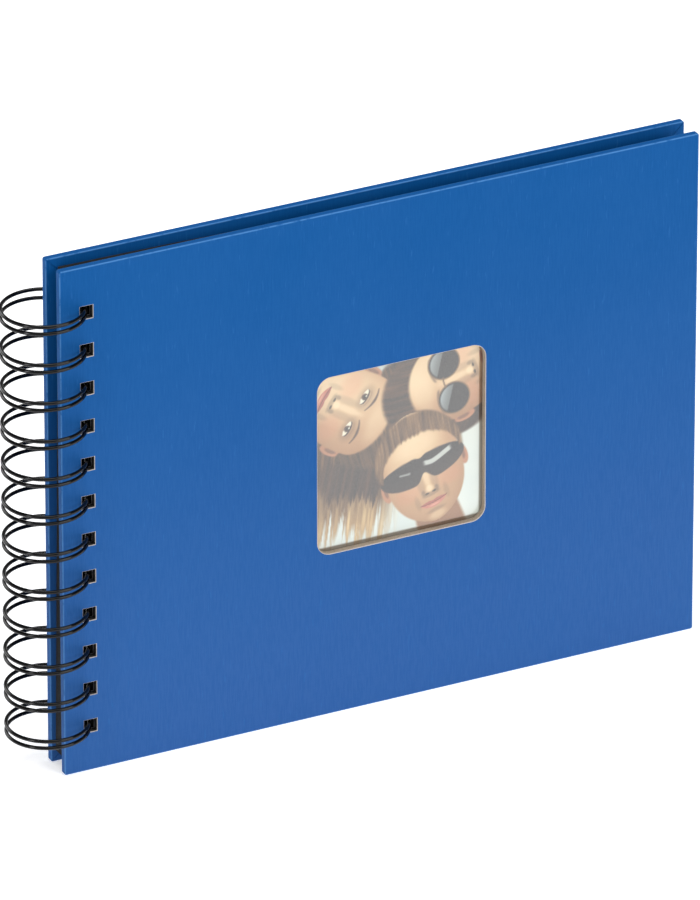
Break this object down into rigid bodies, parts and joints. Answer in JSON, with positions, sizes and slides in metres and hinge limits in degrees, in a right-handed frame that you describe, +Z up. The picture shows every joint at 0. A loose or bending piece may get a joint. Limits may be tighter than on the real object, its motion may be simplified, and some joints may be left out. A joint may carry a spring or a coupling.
{
  "type": "scrapbook album",
  "caption": "Landscape scrapbook album with cloth-covered board covers, a square display window, black leaves and a double-loop wire binding.",
  "frame": {"origin": "on the standing surface, under the middle of the album's bounding box; the ring axis is the upright line x = -0.1023, y = 0", "axes": "+X from the wire binding to the fore edge, +Y from the front cover to the back cover, +Z up the covers as the album stands"},
  "size_m": [0.2308, 0.0262, 0.17],
  "materials": {
    "blue_cloth": "woven book cloth, matt",
    "raw_board": "grey-beige greyboard, raw cut edges",
    "black_paper": "black photo-mounting card, matt",
    "photo_print": "glossy photographic print",
    "coated_wire": "black nylon-coated steel wire, satin"
  },
  "bodies": {
    "back_cover": {"back_board": "raw_board", "back_cloth": "blue_cloth", "back_lining": "black_paper"},
    "wire": {"wire_binding": "coated_wire"},
    "leaf_01": {"leaf_01": "black_paper"},
    "leaf_02": {"leaf_02": "black_paper"},
    "leaf_03": {"leaf_03": "black_paper"},
    "leaf_04": {"leaf_04": "black_paper"},
    "leaf_05": {"leaf_05": "black_paper"},
    "leaf_06": {"leaf_06": "black_paper"},
    "leaf_07": {"leaf_07": "black_paper"},
    "leaf_08": {"leaf_08": "black_paper"},
    "leaf_09": {"leaf_09": "black_paper"},
    "leaf_10": {"leaf_10": "black_paper"},
    "leaf_11": {"leaf_11": "black_paper"},
    "leaf_12": {"leaf_12": "black_paper"},
    "leaf_13": {"leaf_13": "black_paper"},
    "leaf_14": {"leaf_14": "black_paper"},
    "leaf_15": {"leaf_15": "black_paper"},
    "leaf_16": {"leaf_16": "black_paper"},
    "leaf_17": {"leaf_17": "black_paper"},
    "leaf_18": {"leaf_18": "black_paper"},
    "leaf_19": {"leaf_19": "black_paper"},
    "leaf_20": {"leaf_20": "black_paper"},
    "front_cover": {"front_board": "raw_board", "front_cloth": "blue_cloth", "front_lining": "black_paper", "display_print": "photo_print"}
  },
  "joints": [
    {"name": "wire_turn", "type": "hinge", "parent": "back_cover", "child": "wire", "pos_m": [-0.1023, 0, 0.085], "axis": [0, 0, -1], "range_deg": [-75, 8]},
    {"name": "leaf_20_turn", "type": "hinge", "parent": "back_cover", "child": "leaf_20", "pos_m": [-0.1023, 0, 0.085], "axis": [0, 0, -1], "range_deg": [0, 180]},
    {"name": "leaf_19_turn", "type": "hinge", "parent": "leaf_20", "child": "leaf_19", "pos_m": [-0.1023, 0, 0.085], "axis": [0, 0, -1], "range_deg": [0, 180]},
    {"name": "leaf_18_turn", "type": "hinge", "parent": "leaf_19", "child": "leaf_18", "pos_m": [-0.1023, 0, 0.085], "axis": [0, 0, -1], "range_deg": [0, 180]},
    {"name": "leaf_17_turn", "type": "hinge", "parent": "leaf_18", "child": "leaf_17", "pos_m": [-0.1023, 0, 0.085], "axis": [0, 0, -1], "range_deg": [0, 180]},
    {"name": "leaf_16_turn", "type": "hinge", "parent": "leaf_17", "child": "leaf_16", "pos_m": [-0.1023, 0, 0.085], "axis": [0, 0, -1], "range_deg": [0, 180]},
    {"name": "leaf_15_turn", "type": "hinge", "parent": "leaf_16", "child": "leaf_15", "pos_m": [-0.1023, 0, 0.085], "axis": [0, 0, -1], "range_deg": [0, 180]},
    {"name": "leaf_14_turn", "type": "hinge", "parent": "leaf_15", "child": "leaf_14", "pos_m": [-0.1023, 0, 0.085], "axis": [0, 0, -1], "range_deg": [0, 180]},
    {"name": "leaf_13_turn", "type": "hinge", "parent": "leaf_14", "child": "leaf_13", "pos_m": [-0.1023, 0, 0.085], "axis": [0, 0, -1], "range_deg": [0, 180]},
    {"name": "leaf_12_turn", "type": "hinge", "parent": "leaf_13", "child": "leaf_12", "pos_m": [-0.1023, 0, 0.085], "axis": [0, 0, -1], "range_deg": [0, 180]},
    {"name": "leaf_11_turn", "type": "hinge", "parent": "leaf_12", "child": "leaf_11", "pos_m": [-0.1023, 0, 0.085], "axis": [0, 0, -1], "range_deg": [0, 180]},
    {"name": "leaf_10_turn", "type": "hinge", "parent": "leaf_11", "child": "leaf_10", "pos_m": [-0.1023, 0, 0.085], "axis": [0, 0, -1], "range_deg": [0, 180]},
    {"name": "leaf_09_turn", "type": "hinge", "parent": "leaf_10", "child": "leaf_09", "pos_m": [-0.1023, 0, 0.085], "axis": [0, 0, -1], "range_deg": [0, 180]},
    {"name": "leaf_08_turn", "type": "hinge", "parent": "leaf_09", "child": "leaf_08", "pos_m": [-0.1023, 0, 0.085], "axis": [0, 0, -1], "range_deg": [0, 180]},
    {"name": "leaf_07_turn", "type": "hinge", "parent": "leaf_08", "child": "leaf_07", "pos_m": [-0.1023, 0, 0.085], "axis": [0, 0, -1], "range_deg": [0, 180]},
    {"name": "leaf_06_turn", "type": "hinge", "parent": "leaf_07", "child": "leaf_06", "pos_m": [-0.1023, 0, 0.085], "axis": [0, 0, -1], "range_deg": [0, 180]},
    {"name": "leaf_05_turn", "type": "hinge", "parent": "leaf_06", "child": "leaf_05", "pos_m": [-0.1023, 0, 0.085], "axis": [0, 0, -1], "range_deg": [0, 180]},
    {"name": "leaf_04_turn", "type": "hinge", "parent": "leaf_05", "child": "leaf_04", "pos_m": [-0.1023, 0, 0.085], "axis": [0, 0, -1], "range_deg": [0, 180]},
    {"name": "leaf_03_turn", "type": "hinge", "parent": "leaf_04", "child": "leaf_03", "pos_m": [-0.1023, 0, 0.085], "axis": [0, 0, -1], "range_deg": [0, 180]},
    {"name": "leaf_02_turn", "type": "hinge", "parent": "leaf_03", "child": "leaf_02", "pos_m": [-0.1023, 0, 0.085], "axis": [0, 0, -1], "range_deg": [0, 180]},
    {"name": "leaf_01_turn", "type": "hinge", "parent": "leaf_02", "child": "leaf_01", "pos_m": [-0.1023, 0, 0.085], "axis": [0, 0, -1], "range_deg": [0, 180]},
    {"name": "front_cover_turn", "type": "hinge", "parent": "leaf_01", "child": "front_cover", "pos_m": [-0.1023, 0, 0.085], "axis": [0, 0, -1], "range_deg": [0, 180]}
  ]
}
